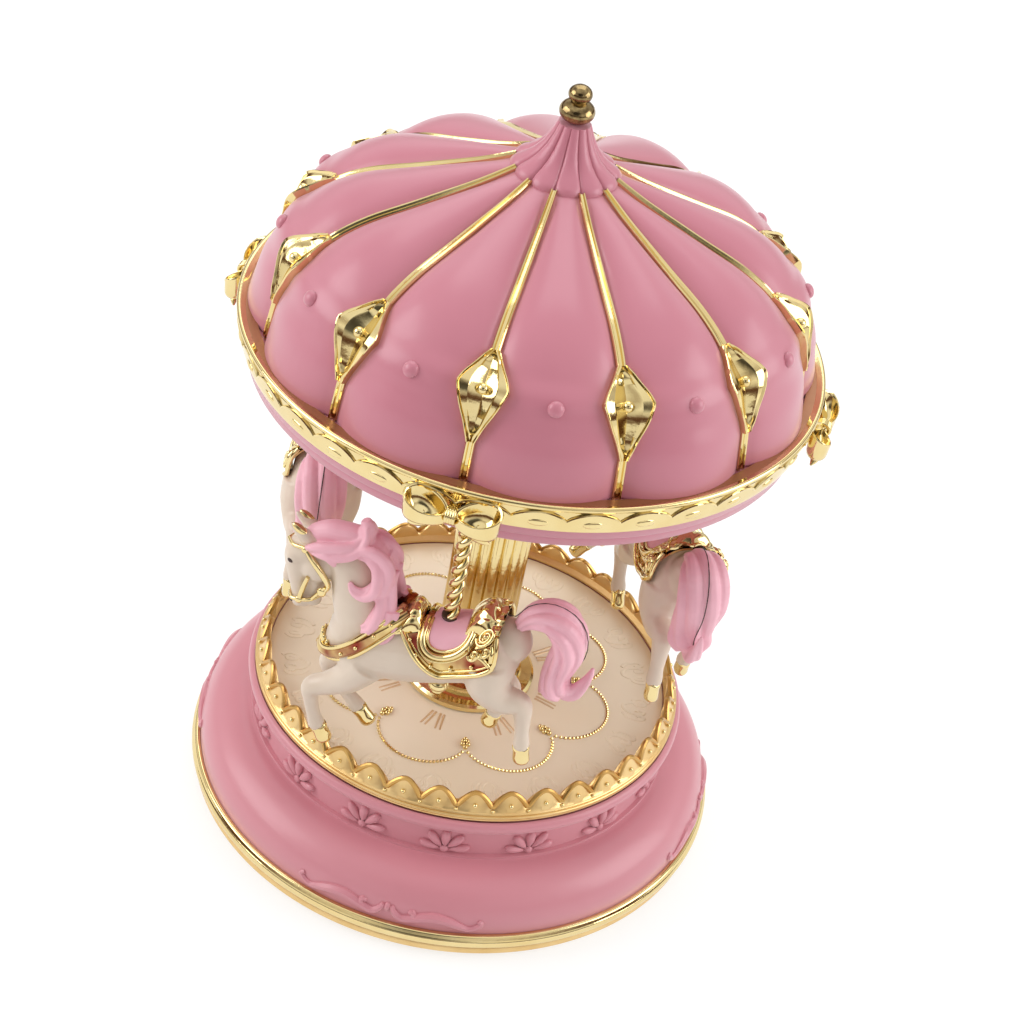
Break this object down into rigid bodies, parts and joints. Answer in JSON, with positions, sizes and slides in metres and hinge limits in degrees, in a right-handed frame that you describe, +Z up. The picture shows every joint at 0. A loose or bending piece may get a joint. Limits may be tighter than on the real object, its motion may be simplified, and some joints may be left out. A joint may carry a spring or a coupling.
{
  "type": "wind up music box",
  "caption": "Carousel music box on a round flared base; winding the key underneath turns a column, a ribbed canopy and hanging horses.",
  "frame": {"origin": "centre of the underside, on the carousel's axis, where the rubber feet rest", "axes": "+Z up along the carousel's axis; -Y faces the horse at the front"},
  "size_m": [0.1102, 0.1102, 0.1547],
  "materials": {
    "pink_plastic": "satin moulded pink plastic",
    "rose_plastic": "plain moulded plastic under the base",
    "cream_plastic": "cream moulded plastic with fine gold print",
    "horse_cream": "cream painted plastic",
    "horse_pink": "pink painted plastic",
    "gold_plating": "mirror gold plated plastic",
    "antique_gold": "dark antique gold plating",
    "rubber": "soft black rubber",
    "steel": "bright steel",
    "brass": "machined brass",
    "key_brass": "polished brass"
  },
  "bodies": {
    "base": {"base_shell": "pink_plastic", "foot_ring": "gold_plating", "bottom_cover": "rose_plastic", "rubber_feet": "rubber", "cover_screws": "steel", "platform_disc": "cream_plastic", "gallery_ring": "gold_plating", "bedplate": "brass", "click_pawl": "steel", "cylinder_bracket": "brass", "note_comb": "steel", "comb_block": "brass", "comb_screws": "steel", "governor_bracket": "brass", "bedplate_screws": "steel"},
    "winder": {"winding_key": "key_brass", "winding_arbor": "steel", "ratchet_wheel": "steel", "mainspring": "steel"},
    "cylinder": {"note_cylinder": "brass", "cylinder_pinion": "brass", "cylinder_gear": "brass"},
    "governor": {"governor_wheel": "brass"},
    "fan": {"governor_fan": "brass"},
    "carousel": {"spring_barrel": "brass", "drive_spindle": "steel", "hub_flange": "gold_plating", "fluted_column": "gold_plating", "canopy_base": "pink_plastic", "canopy_dome": "pink_plastic", "rib_frame": "gold_plating", "canopy_band": "gold_plating", "canopy_cap": "pink_plastic", "finial": "antique_gold", "bow_front": "gold_plating", "bow_right": "gold_plating", "bow_rear": "gold_plating", "bow_left": "gold_plating", "pole_front": "gold_plating", "pole_right": "gold_plating", "pole_rear": "gold_plating", "pole_left": "gold_plating"},
    "horse_front": {"horse_front_body": "horse_cream", "horse_front_mane": "horse_pink", "horse_front_tail": "horse_pink", "horse_front_tack": "gold_plating"},
    "horse_right": {"horse_right_body": "horse_cream", "horse_right_mane": "horse_pink", "horse_right_tail": "horse_pink", "horse_right_tack": "gold_plating"},
    "horse_rear": {"horse_rear_body": "horse_cream", "horse_rear_mane": "horse_pink", "horse_rear_tail": "horse_pink", "horse_rear_tack": "gold_plating"},
    "horse_left": {"horse_left_body": "horse_cream", "horse_left_mane": "horse_pink", "horse_left_tail": "horse_pink", "horse_left_tack": "gold_plating"}
  },
  "joints": [
    {"name": "carousel_spin", "type": "hinge", "parent": "base", "child": "carousel", "pos_m": [0, 0, 0.0262], "axis": [0, 0, 1], "continuous": true},
    {"name": "key_wind", "type": "hinge", "parent": "base", "child": "winder", "pos_m": [0, 0, 0.009], "axis": [0, 0, 1], "range_deg": [0, 1440]},
    {"name": "cylinder_spin", "type": "hinge", "parent": "base", "child": "cylinder", "pos_m": [-0.02, 0, 0.01785], "axis": [1, 0, 0], "continuous": true},
    {"name": "governor_spin", "type": "hinge", "parent": "base", "child": "governor", "pos_m": [-0.03, -0.00684, 0.01785], "axis": [1, 0, 0], "continuous": true},
    {"name": "fan_spin", "type": "hinge", "parent": "base", "child": "fan", "pos_m": [-0.0318, -0.01325, 0.016], "axis": [0, 0, 1], "continuous": true},
    {"name": "front_horse_swivel", "type": "hinge", "parent": "carousel", "child": "horse_front", "pos_m": [0, -0.034, 0.06], "axis": [0, 0, 1], "range_deg": [-2, 30]},
    {"name": "right_horse_swivel", "type": "hinge", "parent": "carousel", "child": "horse_right", "pos_m": [0.034, 0, 0.066], "axis": [0, 0, 1], "range_deg": [-30, 15]},
    {"name": "rear_horse_swivel", "type": "hinge", "parent": "carousel", "child": "horse_rear", "pos_m": [0, 0.034, 0.06], "axis": [0, 0, 1], "range_deg": [-5, 30]},
    {"name": "left_horse_swivel", "type": "hinge", "parent": "carousel", "child": "horse_left", "pos_m": [-0.034, 0, 0.066], "axis": [0, 0, 1], "range_deg": [-25, 20]}
  ],
  "couplings": [
    {"joint": "cylinder_spin", "follows": "carousel_spin", "ratio": -2.25},
    {"joint": "governor_spin", "follows": "carousel_spin", "ratio": 7.875},
    {"joint": "fan_spin", "follows": "carousel_spin", "ratio": 63}
  ]
}
